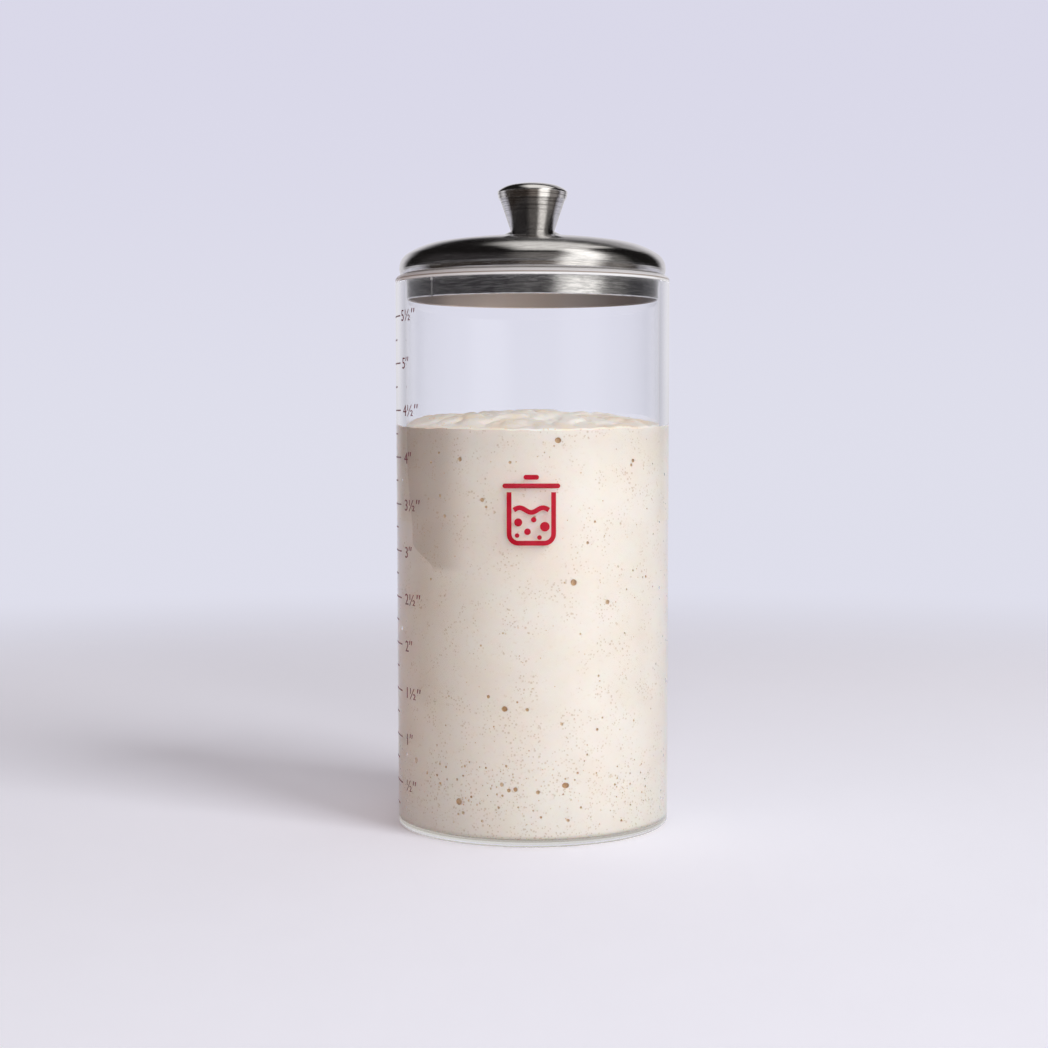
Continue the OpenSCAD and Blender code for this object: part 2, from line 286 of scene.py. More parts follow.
def addWorld():
    world = bpy.data.worlds.new("studio")
    world.use_nodes = True
    world.cycles.sampling_method = "NONE"  # only rays that truly meet the sky see it, so each kind sees its own
    bpy.context.scene.world = world
    tree = world.node_tree
    tree.nodes.clear()
    direction = addNode(tree, "ShaderNodeTexCoord").outputs["Generated"]
    x, y, z = addNode(tree, "ShaderNodeSeparateXYZ", None, Vector=direction).outputs
    toDegrees = 180 / math.pi
    aside = calc(tree, "MULTIPLY", calc(tree, "ARCTAN2", x, y), toDegrees)  # 0 is straight behind the jar
    facing = calc(tree, "MULTIPLY", calc(tree, "ARCTAN2", x, calc(tree, "MULTIPLY", y, -1)), toDegrees)
    height = calc(tree, "MULTIPLY", calc(tree, "ARCSINE", z), toDegrees)

    # what the camera sees, directly and through the glass
    seen = mixColour(tree, softStep(tree, height, 11, -2), studioLook["backdropTop"], studioLook["backdropLow"])

    # what metal and glass mirror
    mirrored = mixColour(tree, softStep(tree, height, 1, -5), roomMirror["dark"], roomMirror["low"])
    lean = calc(tree, "MULTIPLY_ADD", height, -roomMirror["keyLean"])
    tree.links.new(facing, lean.node.inputs[2])
    for name in ("key", "keyTail", "front", "left"):
        tint, sideEdges, heightEdges = roomMirror[name]
        across = patch(tree, lean if name == "key" else facing, sideEdges)
        mirrored = addLight(tree, mirrored, calc(tree, "MULTIPLY", across, patch(tree, height, heightEdges)), tint)
    for name in ("wall", "wallRight"):
        tint, sideEdges, heightEdges = roomMirror[name]
        share = calc(tree, "MULTIPLY", patch(tree, aside, sideEdges), patch(tree, height, heightEdges))
        mirrored = addLight(tree, mirrored, share, tint)
    upright = calc(tree, "MAXIMUM", z, 0.05)
    tint, acrossEdges, awayEdges = roomMirror["box"]
    share = calc(tree, "MULTIPLY", patch(tree, calc(tree, "DIVIDE", x, upright), acrossEdges),
                 patch(tree, calc(tree, "DIVIDE", y, upright), awayEdges))
    share = calc(tree, "MULTIPLY", share, softStep(tree, z, 0.25, 0.5))
    mirrored = addLight(tree, mirrored, share, tint)

    # what matt surfaces gather
    glow = mixColour(tree, softStep(tree, calc(tree, "ABSOLUTE", facing), 60, 150),
                     roomGlow["front"], roomGlow["back"])
    leftShare = calc(tree, "MULTIPLY", patch(tree, facing, (-170, -130, -60, -20)), patch(tree, height, (-20, 0, 25, 45)))
    glow = addLight(tree, glow, leftShare, roomGlow["left"])
    glow = addLight(tree, glow, patch(tree, facing, (30, 70, 120, 160)), roomGlow["right"])
    glow = mixColour(tree, softStep(tree, height, 20, 55, 0.0, 1 - roomGlow["overhead"]), glow, colour(0, 0, 0))

    path = addNode(tree, "ShaderNodeLightPath")
    matt = calc(tree, "GREATER_THAN", path.outputs["Diffuse Depth"], 0.5)
    glossed = calc(tree, "GREATER_THAN", path.outputs["Glossy Depth"], 0.5)
    crossed = path.outputs["Transmission Depth"]
    through = calc(tree, "GREATER_THAN", crossed, 0.5)
    # light that turns round inside the glass and comes out again, as in its edges, rim and floor
    guided = calc(tree, "MULTIPLY", through, calc(tree, "LESS_THAN", crossed, 3.5))
    bright = mixColour(tree, calc(tree, "MULTIPLY", through, studioLook["throughGlass"] - 1), seen, seen, "ADD")
    mirrored = mixColour(tree, calc(tree, "MULTIPLY", guided, 0.75), mirrored, bright)
    light = mixColour(tree, glossed, bright, mirrored)
    light = mixColour(tree, matt, light, glow)
    background = addNode(tree, "ShaderNodeBackground", None, Color=light, Strength=1.0)
    output = addNode(tree, "ShaderNodeOutputWorld")
    tree.links.new(background.outputs[0], output.inputs["Surface"])


def addSoftLight(name):
    azimuth, elevation, distance, size, power = studioLook["lamps"][name]
    data = bpy.data.lights.new(name, "AREA")
    data.shape = "RECTANGLE"
    data.size = size[0]
    data.size_y = size[1]
    data.energy = power
    lamp = bpy.data.objects.new(name, data)
    aim = Vector((0, 0, 0.09))
    turn = math.radians(azimuth)
    rise = math.radians(elevation)
    away = Vector((math.sin(turn) * math.cos(rise), -math.cos(turn) * math.cos(rise), math.sin(rise)))
    lamp.location = aim + away * distance
    lamp.rotation_euler = (-away).to_track_quat("-Z", "Y").to_euler()
    lamp.visible_camera = False
    lamp.visible_glossy = False  # the room's own bright patch is what the steel mirrors
    lamp.visible_transmission = False
    bpy.context.scene.collection.objects.link(lamp)


def floorMaterial():
    material, tree = newMaterial("paleFloor")
    look = studioLook
    path = addNode(tree, "ShaderNodeLightPath")
    matt = calc(tree, "GREATER_THAN", path.outputs["Diffuse Depth"], 0.5)
    glossed = calc(tree, "GREATER_THAN", path.outputs["Glossy Depth"], 0.5)
    crossed = calc(tree, "GREATER_THAN", path.outputs["Transmission Depth"], 0.5)
    seen = calc(tree, "MAXIMUM", path.outputs["Is Camera Ray"],
                calc(tree, "MAXIMUM", path.outputs["Is Glossy Ray"], path.outputs["Is Transmission Ray"]))
    seen = calc(tree, "MULTIPLY", seen, calc(tree, "SUBTRACT", 1.0, matt))
    x, y, z = addNode(tree, "ShaderNodeSeparateXYZ", None, Vector=objectPoint(tree)).outputs
    distance = calc(tree, "SQRT", calc(tree, "ADD", calc(tree, "MULTIPLY", x, x), calc(tree, "MULTIPLY", y, y)))
    farShare = calc(tree, "MULTIPLY", softStep(tree, distance, look["fadeStart"], look["fadeEnd"]), seen)
    boost = calc(tree, "MULTIPLY_ADD", seen, look["floorBoost"] - 1)
    boost.node.inputs[2].default_value = 1.0
    mottle = noiseValue(tree, objectPoint(tree), 55, 4)
    pale = mixColour(tree, softStep(tree, mottle, 0.3, 0.7), look["floorTrue"],
                     colour(*[c * 1.01 for c in look["floorTrue"][:3]]))
    scaled = addNode(tree, "ShaderNodeVectorMath", {"operation": "SCALE"})
    feed(tree, scaled.inputs[0], pale)
    feed(tree, scaled.inputs["Scale"], boost)

    # three places where a ray meets a plain glowing tone: a painted glow under the glass base, a painted reflection
    # past the paper, and painted bounce light at the left
    underShare = calc(tree, "MULTIPLY", crossed, softStep(tree, distance, 0.0378, 0.0370))
    mirrorRay = calc(tree, "MULTIPLY", glossed, calc(tree, "SUBTRACT", 1.0, crossed))
    facing = calc(tree, "MULTIPLY", calc(tree, "ARCTAN2", x, calc(tree, "MULTIPLY", y, -1)), 180 / math.pi)
    pastPaper = calc(tree, "MULTIPLY", softStep(tree, distance, 0.24, 0.28),
                     softStep(tree, calc(tree, "ABSOLUTE", facing), 122, 96))
    edgeShare = calc(tree, "MULTIPLY", mirrorRay, pastPaper)
    mirrorDark = look["mirrorDark"]
    for tint, edges in look["mirrorGlow"]:
        mirrorDark = addLight(tree, mirrorDark, patch(tree, facing, edges), tint)
    besideJar = calc(tree, "MULTIPLY", patch(tree, x, (-0.24, -0.16, -0.06, -0.035)),
                     patch(tree, y, (-0.16, -0.08, 0.06, 0.12)))
    bounceShare = calc(tree, "MULTIPLY", matt, besideJar)
    tone = mixColour(tree, underShare, look["backdropLow"], look["underJarGlow"])
    tone = mixColour(tree, edgeShare, tone, mirrorDark)
    tone = mixColour(tree, bounceShare, tone, look["bounce"])
    share = calc(tree, "MAXIMUM", calc(tree, "MAXIMUM", farShare, underShare),
                 calc(tree, "MAXIMUM", edgeShare, bounceShare))
    near = addNode(tree, "ShaderNodeBsdfDiffuse", None, Color=scaled.outputs[0])
    far = addNode(tree, "ShaderNodeEmission", None, Color=tone, Strength=1.0)
    mix = addNode(tree, "ShaderNodeMixShader", None, Fac=share)
    tree.links.new(near.outputs[0], mix.inputs[1])
    tree.links.new(far.outputs[0], mix.inputs[2])
    finishMaterial(tree, mix.outputs[0])
    return material


def addStudio():
    addWorld()
    for name in studioLook["lamps"]:
        addSoftLight(name)
    reach = studioLook["floorRadius"]
    floor = latheMesh("floor", [(0, -0.0001), (reach / 4, -0.0001), (reach, -0.0001)], 96, floorMaterial())
    floor.data.flip_normals()
    bpy.context.scene.view_settings.view_transform = "Standard"


# Glass jar

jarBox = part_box("glass_jar")
jarShape = {
    "radius": jarBox[1].x,
    "height": jarBox[1].z,
    "wall": 0.0026,
    "floor": 0.0014,
    "baseRound": 0.0012,
    "guidedGlow": colour(0.66, 0.65, 0.635),
    "cornerShade": colour(0.50, 0.46, 0.40),
    "floorRound": 0.0016,
    "segments": 288,
    "sideRows": 60,
}
boreRadius = jarShape["radius"] - jarShape["wall"]


def clearGlass():
    material, tree = newMaterial("clearGlass")
    point = objectPoint(tree)
    z = addNode(tree, "ShaderNodeSeparateXYZ", None, Vector=point).outputs[2]
    top = jarShape["height"]
    rim = softStep(tree, z, top - 0.0019, top - 0.0016)  # the rim, melted round, is painted milky in place of how it bends the light, with a painted dark line and a painted highlight line
    paintedDarkLine = patch(tree, z, (top - 0.0013, top - 0.0011, top - 0.0010, top - 0.0008))
    paintedBrightLine = patch(tree, z, (top - 0.0019, top - 0.0017, top - 0.0014, top - 0.0012))
    paintedRim = mixColour(tree, paintedDarkLine, colour(0.72, 0.70, 0.71), colour(0.40, 0.34, 0.29))
    paintedRim = mixColour(tree, paintedBrightLine, paintedRim, colour(0.98, 0.97, 0.97))
    drawn = noiseValue(tree, stretch(tree, point, (60, 60, 6)), 1.0, 3)
    smudge = noiseValue(tree, point, 90, 5, 0.6)
    roughness = calc(tree, "MAXIMUM", softStep(tree, smudge, 0.52, 0.8, 0.004, 0.03),
                     calc(tree, "MULTIPLY", rim, 0.25))
    bump = addNode(tree, "ShaderNodeBump", None, Height=drawn, Strength=0.06, Distance=0.0003)
    shader = addNode(tree, "ShaderNodeBsdfPrincipled", None, Roughness=roughness, IOR=1.47, Normal=bump.outputs[0])
    # painted shade: the glass is darker at its very bottom and in a band at the height of its inner floor corner
    corner = calc(tree, "MAXIMUM", softStep(tree, z, 0.00060, 0.00025),
                  patch(tree, z, (0.0014, 0.0016, 0.0020, 0.0024)))
    clear = mixColour(tree, corner, colour(0.997, 0.999, 1.0), jarShape["cornerShade"])
    feed(tree, shader.inputs["Base Color"], mixColour(tree, rim, clear, paintedRim))
    shader.inputs["Specular Tint"].default_value = colour(0.4, 0.4, 0.42)
    feed(tree, shader.inputs["Transmission Weight"], calc(tree, "MULTIPLY_ADD", rim, -0.75))
    shader.inputs["Transmission Weight"].links[0].from_node.inputs[2].default_value = 1.0
    shadow = addNode(tree, "ShaderNodeBsdfTransparent", None, Color=colour(0.93, 0.935, 0.94))
    path = addNode(tree, "ShaderNodeLightPath")
    mix = addNode(tree, "ShaderNodeMixShader", None, Fac=path.outputs["Is Shadow Ray"])
    tree.links.new(shader.outputs[0], mix.inputs[1])
    tree.links.new(shadow.outputs[0], mix.inputs[2])
    # after three turns inside the glass the light is a painted glow, the plain pale tone of its floor
    deep = calc(tree, "MULTIPLY", calc(tree, "GREATER_THAN", path.outputs["Glossy Depth"], 2.5),
                calc(tree, "GREATER_THAN", path.outputs["Transmission Depth"], 0.5))
    guided = addNode(tree, "ShaderNodeEmission", None, Color=jarShape["guidedGlow"], Strength=1.0)
    guidedMix = addNode(tree, "ShaderNodeMixShader", None, Fac=deep)
    tree.links.new(mix.outputs[0], guidedMix.inputs[1])
    tree.links.new(guided.outputs[0], guidedMix.inputs[2])
    finishMaterial(tree, guidedMix.outputs[0])
    return material


def makeJar():
    shape = jarShape
    outer = shape["radius"]
    rim = shape["wall"] / 2
    top = shape["height"] - rim
    rows = shape["sideRows"]
    low = shape["baseRound"]
    inLow = shape["floor"] + shape["floorRound"]
    profile = [(0, 0), (outer * 0.5, 0)]
    profile += arcPoints((outer - low, low), low, -90, 0, 10)
    profile += [(outer, low + (top - low) * i / rows) for i in range(1, rows)]
    profile += arcPoints((outer - rim, top), rim, 0, 180, 20)
    profile += [(boreRadius, top + (inLow - top) * i / rows) for i in range(1, rows)]
    profile += arcPoints((boreRadius - shape["floorRound"], inLow), shape["floorRound"], 0, -90, 12)
    profile += [(boreRadius * 0.5, shape["floor"]), (0, shape["floor"])]
    jar = latheMesh("jar_glass", profile, shape["segments"], clearGlass(), smoothAngle=60)
    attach(jar, "jar")
    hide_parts("glass_jar")
    print("glass jar made")


# Starter: dough that wets the glass and rises to a lumpy, moist top

doughShape = {
    "edge": 0.1096,
    "crown": 0.0025,
    "backRise": 0.0026,  # how much higher the starter stands at the back of the jar than at the front
    "highest": 0.1151,
    "wet": 0.00003,  # how far the dough reaches into the glass, so that it shows right up to the jar's edge
    "lift": 0.00002,  # the film of air under the dough, so that the glass floor stays clear
    "segments": 240,
    "topRows": 60,
    "sideRows": 44,
    "seed": 7,
    "smallBubbles": 860,
}
# Painted shade, a darker patch at the left of the starter: degrees left of the front at which it fades in, is full
# and ends, how far that end leans towards the front at the foot, and the foot's height
doughShadePatch = {
    "fadeIn": 27,
    "full": 44,
    "end": 66.9,
    "lean": (5, 15),
    "foot": 0.0722,
    "tone": 0.83,
}
# angle from +X, distance from the middle, width and rise of each soft swelling, in degrees and metres
doughSwellings = [
    (255, 0.020, 0.0090, 0.0012), (275, 0.013, 0.0085, 0.0014), (300, 0.021, 0.0080, 0.0008),
    (215, 0.019, 0.0080, 0.0010), (20, 0.017, 0.0085, 0.0008), (80, 0.015, 0.0100, 0.0011),
    (130, 0.020, 0.0090, 0.0009), (180, 0.004, 0.0090, 0.0012), (330, 0.027, 0.0060, 0.0006),
    (172, 0.027, 0.0110, 0.0011), (236, 0.028, 0.0050, 0.0007), (285, 0.029, 0.0045, 0.0005),
]
# larger bubbles against the glass: angle left of the front, height and radius, in degrees and millimetres
doughBubbles = [
    (33, 11.0, 0.95), (27, 12.6, 0.35), (13.3, 16.4, 0.55), (10.2, 14.9, 0.5), (7.4, 15.2, 0.62),
    (-2, 14.5, 0.55), (-13.7, 16.1, 0.9), (12, 36.4, 0.85), (2.5, 36.3, 0.45), (31, 8.1, 0.5),
    (22, 6.4, 0.4), (14.6, 10.2, 0.4), (19, 39.5, 0.45), (21.5, 91.0, 0.55), (19.8, 89.2, 0.4),
    (40, 86.5, 0.5), (32, 101.5, 0.6), (-10.5, 106.5, 0.8), (-17.2, 69.5, 0.8), (-33, 64.0, 0.7),
    (-47, 101.0, 0.6), (60, 20, 0.9), (75, 55, 0.7), (100, 80, 0.8), (140, 30, 0.9), (165, 66, 0.8),
    (-80, 40, 0.8), (-110, 88, 0.7), (-135, 20, 0.9), (-160, 96, 0.6), (120, 100, 0.7),
]


def doughTop(x, y):
    radius = math.hypot(x, y)
    height = doughShape["edge"] + doughShape["crown"] * (1 - (radius / boreRadius) ** 3)
    height += doughShape["backRise"] * (1 + y / boreRadius) / 2
    for turn, away, width, rise in doughSwellings:
        cx = away * math.cos(math.radians(turn))
        cy = away * math.sin(math.radians(turn))
        near = math.hypot(x - cx, y - cy) / width
        if near < 1:
            height += rise * (1 - near * near) ** 1.5
    lump = noise.fractal(Vector((x * 95, y * 95, 3.1)), 0.9, 2.2, 4)
    crease = abs(noise.noise(Vector((x * 150, y * 150, 8.7))))
    calm = min(1.0, (boreRadius - radius) / 0.006)
    height += (0.0006 * lump - 0.0008 * (0.25 - min(crease, 0.25)) / 0.25) * (0.35 + 0.65 * calm)
    return min(height, doughShape["highest"])


def leftShadeMask(tree, point, z):
    look = doughShadePatch
    x, y, _ = addNode(tree, "ShaderNodeSeparateXYZ", None, Vector=point).outputs
    left = calc(tree, "ARCTAN2", calc(tree, "MULTIPLY", x, -1), calc(tree, "MULTIPLY", y, -1))
    left = calc(tree, "MULTIPLY", left, 180 / math.pi)
    wander = calc(tree, "MULTIPLY", calc(tree, "SUBTRACT", noiseValue(tree, point, 90, 2), 0.5), 1.6)
    lean = calc(tree, "ADD", softStep(tree, z, look["foot"] + 0.028, look["foot"] + 0.008, 0, look["lean"][0]),
                softStep(tree, z, look["foot"] + 0.007, look["foot"], 0, look["lean"][1]))
    beyond = calc(tree, "ADD", calc(tree, "ADD", left, wander), lean)
    inside = softStep(tree, beyond, look["end"] + 0.25, look["end"] - 0.25)
    inside = calc(tree, "MULTIPLY", inside, softStep(tree, left, look["fadeIn"], look["full"]))
    return calc(tree, "MULTIPLY", inside, softStep(tree, z, look["foot"] - 0.001, look["foot"] + 0.0015))


def doughMaterial(name, wetted):
    material, tree = newMaterial(name)
    point = objectPoint(tree)
    z = addNode(tree, "ShaderNodeSeparateXYZ", None, Vector=point).outputs[2]
    cloud = noiseValue(tree, point, 70, 4, 0.6)
    fine = noiseValue(tree, point, 900, 4, 0.7)
    base = mixColour(tree, softStep(tree, cloud, 0.3, 0.72), colour(0.945, 0.862, 0.782), colour(0.97, 0.905, 0.84))
    if not wetted:  # the open top has soft pink and tan patches, and is painted paler, partly to stand in for light
        base = mixColour(tree, softStep(tree, cloud, 0.34, 0.62), colour(0.97, 0.80, 0.66), colour(0.99, 0.93, 0.87))
    # pinholes: small round specks painted darker as the shade in tiny holes, in drifts, with more of them low down
    # where the crumb is coarse
    lowDown = softStep(tree, z, 0.034, 0.008)
    # painted shade: the wetted side is darker in a patch at the left
    if wetted:
        base = mixColour(tree, leftShadeMask(tree, point, z), base, colour(*[doughShadePatch["tone"] * c for c in (0.94, 0.85, 0.77)]))
    specked = base
    for scale, width, often in ((620.0, 0.26, 0.50), (1150.0, 0.32, 0.46)):
        cells = addNode(tree, "ShaderNodeTexVoronoi", None, Vector=point, Scale=scale)
        cells.inputs["Randomness"].default_value = 1.0
        speck = softStep(tree, cells.outputs["Distance"], width, width * 0.45)
        drift = calc(tree, "ADD", noiseValue(tree, point, 190, 2), calc(tree, "MULTIPLY", lowDown, 0.09))
        share = calc(tree, "MULTIPLY", speck, softStep(tree, drift, often, often + 0.14))
        specked = mixColour(tree, calc(tree, "MULTIPLY", share, 0.5), specked, colour(0.60, 0.46, 0.32))
    grain = mixColour(tree, softStep(tree, fine, 0.56, 0.74, 0.0, 0.4), specked, colour(0.80, 0.68, 0.56))
    bump = addNode(tree, "ShaderNodeBump", None, Height=noiseValue(tree, point, 420, 5, 0.6),
                   Strength=0.2 if wetted else 0.6, Distance=0.0004)
    shader = addNode(tree, "ShaderNodeBsdfPrincipled", None, Normal=bump.outputs[0])
    feed(tree, shader.inputs["Base Color"], grain)
    feed(tree, shader.inputs["Roughness"], softStep(tree, cloud, 0.3, 0.7, 0.55, 0.38))
    shader.inputs["IOR"].default_value = 1.4
    shader.inputs["Specular IOR Level"].default_value = 0.0 if wetted else 0.22
    if not wetted:  # painted glow: the open top glows with its own colour, standing in for light that has spread through the starter from its sides
        feed(tree, shader.inputs["Emission Color"], grain)
        shader.inputs["Emission Strength"].default_value = 0.2
    shader.inputs["Subsurface Weight"].default_value = 0.4
    shader.inputs["Subsurface Radius"].default_value = (1.0, 0.55, 0.35)
    shader.inputs["Subsurface Scale"].default_value = 0.0025
    finishMaterial(tree, shader.outputs[0])
    return material


# the walls of a bubble that the glass cuts open: wet and golden, and painted darker than the dough round it, partly
# as shade inside the hollow
def hollowMaterial():
    material, tree = newMaterial("doughHollow")
    point = objectPoint(tree)
    tone = mixColour(tree, softStep(tree, noiseValue(tree, point, 800, 3), 0.35, 0.65),
                     colour(0.66, 0.42, 0.22), colour(0.80, 0.60, 0.38))
    faint = softStep(tree, noiseValue(tree, point, 210, 2), 0.42, 0.62)  # some bubbles are hardly darker
    tone = mixColour(tree, calc(tree, "MULTIPLY", faint, 0.7), tone, colour(0.90, 0.76, 0.58))
    bump = addNode(tree, "ShaderNodeBump", None, Height=noiseValue(tree, point, 1600, 3), Strength=0.2,
                   Distance=0.0001)
    shader = addNode(tree, "ShaderNodeBsdfPrincipled", None, Normal=bump.outputs[0])
    feed(tree, shader.inputs["Base Color"], tone)
    shader.inputs["Roughness"].default_value = 0.4
    finishMaterial(tree, shader.outputs[0])
    return material


def makeStarter():
    shape = doughShape
    segments = shape["segments"]
    outer = boreRadius + shape["wet"]
    bottom = jarShape["floor"] + shape["lift"]
    corner = jarShape["floorRound"]
    step = 2 * math.pi / segments
    verts = [(0, 0, bottom)]
    rings = []

    def addRing(radius, zOf):
        start = len(verts)
        for i in range(segments):
            x = radius * math.cos(i * step)
            y = radius * math.sin(i * step)
            verts.append((x, y, zOf(x, y)))
        rings.append(list(range(start, start + segments)))

    for radius, z in [(outer * 0.5, bottom)] + arcPoints((outer - corner, bottom + corner), corner, -90, 0, 10):
        addRing(radius, lambda x, y, z=z: z)
    start = bottom + corner
    for k in range(1, shape["sideRows"] + 1):
        share = k / shape["sideRows"]
        addRing(outer, lambda x, y, share=share: start + (doughTop(x, y) - 0.0004 - start) * share)
    for k in range(0, shape["topRows"]):
        share = 1 - (k + 0.4) / shape["topRows"]
        addRing(outer * share, doughTop)
    faces = []
    for low, high in zip(rings, rings[1:]):
        for i in range(segments):
            j = (i + 1) % segments
            faces.append((low[i], low[j], high[j], high[i]))
    for i in range(segments):
        faces.append((0, rings[0][(i + 1) % segments], rings[0][i]))
    last = len(verts)
    verts.append((0, 0, doughTop(0, 0)))
    for i in range(segments):
        faces.append((rings[-1][i], rings[-1][(i + 1) % segments], last))
    dough = showMesh("starter_dough", verts, faces, doughMaterial("doughOnGlass", True), 40)
    dough.data.materials.append(doughMaterial("doughOpen", False))
    dough.data.materials.append(hollowMaterial())
    cutBubbles(dough)
    for face in dough.data.polygons:
        x, y, z = face.center
        if math.hypot(x, y) > boreRadius - 0.00003 or z < jarShape["floor"] + jarShape["floorRound"]:
            face.material_index = 0
        elif z > doughTop(x, y) - 0.0006:
            face.material_index = 1
        else:
            face.material_index = 2
    dough.data.shade_smooth()
    dough.data.set_sharp_from_angle(angle=math.radians(38))
    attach(dough, "jar")
    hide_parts("starter")
    print("starter made,", len(dough.data.polygons), "faces")


# one ball of radius 1, as plain points and triangles that every bubble repeats
def ballTemplate(subdivisions):
    shape = bmesh.new()
    bmesh.ops.create_icosphere(shape, subdivisions=subdivisions, radius=1)
    points = [v.co.copy() for v in shape.verts]
    triangles = [tuple(v.index for v in face.verts) for face in shape.faces]
    shape.free()
    return points, triangles


# Every bubble against the glass is a round hollow in the dough
def cutBubbles(dough):
    pick = random.Random(doughShape["seed"])
    wanted = [(turn, z / 1000, radius / 1000) for turn, z, radius in doughBubbles]
    for _ in range(doughShape["smallBubbles"]):
        radius = 0.00015 + 0.00030 * pick.random() ** 3
        low = pick.random() < 0.45
        z = pick.uniform(0.005, 0.022) if low else pick.uniform(0.005, 0.107)
        wanted.append((pick.uniform(-180, 180), z, radius))
    kept = []
    for turn, z, radius in wanted:
        centre = Vector(onCylinder(boreRadius + doughShape["wet"] - radius * 0.35, turn, z))
        if all((centre - other).length > (radius + otherRadius) * 1.15 for other, otherRadius in kept):
            kept.append((centre, radius))
    small = ballTemplate(2)
    large = ballTemplate(3)
    verts = []
    faces = []
    for centre, radius in kept:
        points, triangles = large if radius > 0.0004 else small
        start = len(verts)
        squash = Vector([pick.uniform(0.88, 1.12) * radius for _ in range(3)])
        verts += [centre + p * squash for p in points]
        faces += [tuple(i + start for i in triangle) for triangle in triangles]
    mesh = bpy.data.meshes.new("bubbleShapes")
    mesh.from_pydata(verts, [], faces)
    cutter = bpy.data.objects.new("bubbleShapes", mesh)
    bpy.context.scene.collection.objects.link(cutter)
    cut = dough.modifiers.new("bubbles", "BOOLEAN")
    cut.operation = "DIFFERENCE"
    cut.solver = "MANIFOLD"
    cut.object = cutter
    graph = bpy.context.evaluated_depsgraph_get()
    result = bpy.data.meshes.new_from_object(dough.evaluated_get(graph))
    dough.modifiers.clear()
    dough.data = result
    bpy.data.objects.remove(cutter)
    print("bubbles cut:", len(kept))


# Printed scale and mark: thin ink on the outside of the glass

inkLook = {
    "numeralLeft": 66.9,  # angle left of the front at which the numerals start
    "numeralSize": 0.0043,
    "numeralWidth": 1.22,
    "topDrift": 0.0007,  # each of the top three starts this much further left than the one below
    "step": 0.0127,
    "count": 11,
    "low": -0.00004,  # how far the ink starts inside the glass
    "high": 0.00003,  # and how far it stands on it
}


def inkMaterial(name, deep, bright):
    material, tree = newMaterial(name)
    point = objectPoint(tree)
    wear = noiseValue(tree, point, 300, 4, 0.6)
    tone = mixColour(tree, softStep(tree, wear, 0.3, 0.7), deep, bright)
    bump = addNode(tree, "ShaderNodeBump", None, Height=noiseValue(tree, point, 1500, 3), Strength=0.15,
                   Distance=0.0001)
    shader = addNode(tree, "ShaderNodeBsdfPrincipled", None, Normal=bump.outputs[0])
    feed(tree, shader.inputs["Base Color"], tone)
    feed(tree, shader.inputs["Roughness"], softStep(tree, wear, 0.3, 0.7, 0.3, 0.42))
    # light that turns round inside the glass wall doesn't show the ink a second time
    path = addNode(tree, "ShaderNodeLightPath")
    guided = calc(tree, "MULTIPLY", calc(tree, "GREATER_THAN", path.outputs["Glossy Depth"], 0.5),
                  calc(tree, "GREATER_THAN", path.outputs["Transmission Depth"], 0.5))
    clear = addNode(tree, "ShaderNodeBsdfTransparent")
    mix = addNode(tree, "ShaderNodeMixShader", None, Fac=guided)
    tree.links.new(shader.outputs[0], mix.inputs[1])
    tree.links.new(clear.outputs[0], mix.inputs[2])
    finishMaterial(tree, mix.outputs[0])
    return material


def inkRadii():
    return jarShape["radius"] + inkLook["low"], jarShape["radius"] + inkLook["high"]


# flat points (metres along the surface, height) to a solid film on the glass
def wrapFilm(name, flatVerts, flatFaces, material, leftDeg):
    inside, outside = inkRadii()
    verts = []
    for radius in (inside, outside):
        for along, z in flatVerts:
            turn = leftDeg - math.degrees(along / jarShape["radius"])
            verts.append(onCylinder(radius, turn, z))
    count = len(flatVerts)
    faces = [tuple(v + count for v in face) for face in flatFaces]
    faces += [tuple(reversed(face)) for face in flatFaces]
    used = {}
    for face in flatFaces:
        for a, b in zip(face, face[1:] + face[:1]):
            used[(a, b)] = used.get((a, b), 0) + 1
    for a, b in used:
        if (b, a) not in used:
            faces.append((a, b, b + count, a + count))
    return showMesh(name, verts, faces, material, 30)


# a line of even width along flat points, open or closed
def stripe(points, width, closed=False):
    verts = []
    count = len(points)
    for i, (x, z) in enumerate(points):
        before = points[(i - 1) % count] if closed or i > 0 else points[i]
        after = points[(i + 1) % count] if closed or i < count - 1 else points[i]
        dx = after[0] - before[0]
        dz = after[1] - before[1]
        length = math.hypot(dx, dz)
        nx = -dz / length * width / 2
        nz = dx / length * width / 2
        verts += [(x + nx, z + nz), (x - nx, z - nz)]
    faces = []
    for i in range(count if closed else count - 1):
        j = (i + 1) % count
        faces.append((2 * i + 1, 2 * j + 1, 2 * j, 2 * i))
    return verts, faces


def flatText(words, size):
    curve = bpy.data.curves.new("numeral", "FONT")
    curve.body = words
    curve.size = size
    curve.resolution_u = 3
    curve.align_y = "CENTER"
    holder = bpy.data.objects.new("numeral", curve)
    bpy.context.scene.collection.objects.link(holder)
    graph = bpy.context.evaluated_depsgraph_get()
    mesh = bpy.data.meshes.new_from_object(holder.evaluated_get(graph))
    verts = [(v.co.x, v.co.y) for v in mesh.vertices]
    faces = [tuple(p.vertices) for p in mesh.polygons]
    bpy.data.objects.remove(holder)
    return verts, faces


def makeNumerals(material):
    look = inkLook
    allVerts = []
    allFaces = []
    for i in range(1, look["count"] + 1):
        whole = str(i // 2) if i > 1 else ""
        half = "½" if i % 2 else ""
        verts, faces = flatText(whole + half + "″", look["numeralSize"])
        middle = (min(v[1] for v in verts) + max(v[1] for v in verts)) / 2
        start = len(allVerts)
        drift = look["topDrift"] * max(0, i - 8)
        allVerts += [(x * look["numeralWidth"] - drift, z - middle + i * look["step"]) for x, z in verts]
        allFaces += [tuple(v + start for v in face) for face in faces]
    numerals = wrapFilm("scale_numerals", allVerts, allFaces, material, look["numeralLeft"])
    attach(numerals, "jar")


